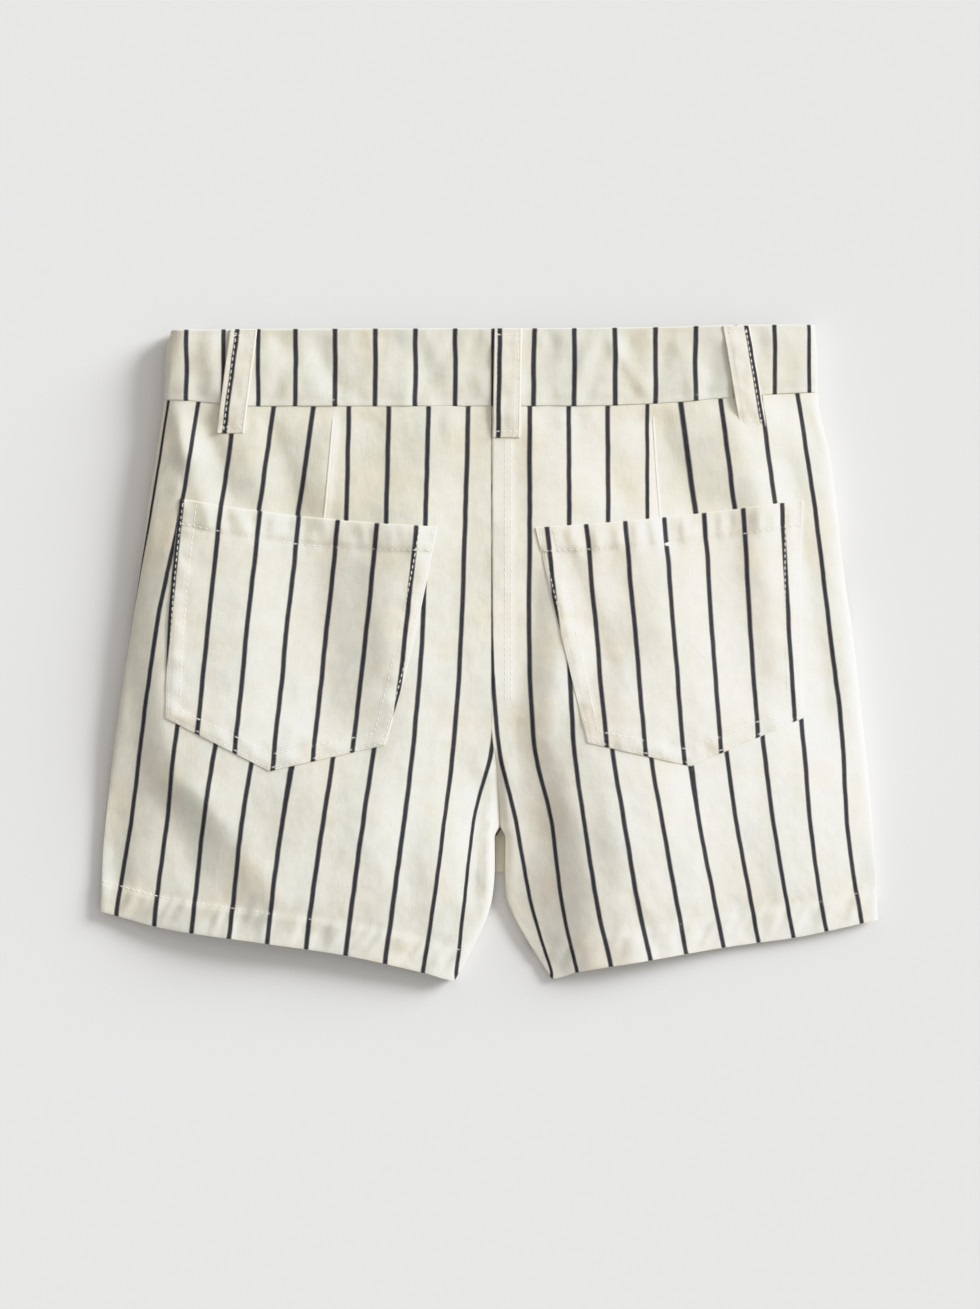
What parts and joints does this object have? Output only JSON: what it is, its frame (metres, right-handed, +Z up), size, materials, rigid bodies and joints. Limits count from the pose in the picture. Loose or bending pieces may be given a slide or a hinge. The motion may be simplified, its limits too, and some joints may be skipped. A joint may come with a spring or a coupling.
{
  "type": "denim skort",
  "caption": "Striped cotton denim skort lying flat on its front: shorts with waistband, belt loops and patch pockets behind, and a skirt panel over the front",
  "frame": {"origin": "centre of the footprint, on the surface that the garment lies on", "axes": "+X towards the wearer's right, +Y from the hems to the waist, +Z up, out of the back of the garment"},
  "size_m": [0.39, 0.3282, 0.0147],
  "materials": {
    "striped_denim": "cream cotton twill denim with thin navy pinstripes 20 mm apart",
    "button_metal": "plain matte metal button"
  },
  "bodies": {
    "root": {"back_left": "striped_denim", "back_right": "striped_denim", "front_left": "striped_denim", "front_right": "striped_denim", "skirt_front_left": "striped_denim", "skirt_front_right": "striped_denim", "waistband_back": "striped_denim", "waistband_front_left": "striped_denim", "waistband_front_right": "striped_denim", "fly_placket": "striped_denim", "pocket_left": "striped_denim", "pocket_right": "striped_denim", "belt_loop_left": "striped_denim", "belt_loop_centre": "striped_denim", "belt_loop_right": "striped_denim", "belt_loop_front_left": "striped_denim", "belt_loop_front_right": "striped_denim", "waist_button": "button_metal"}
  },
  "joints": []
}
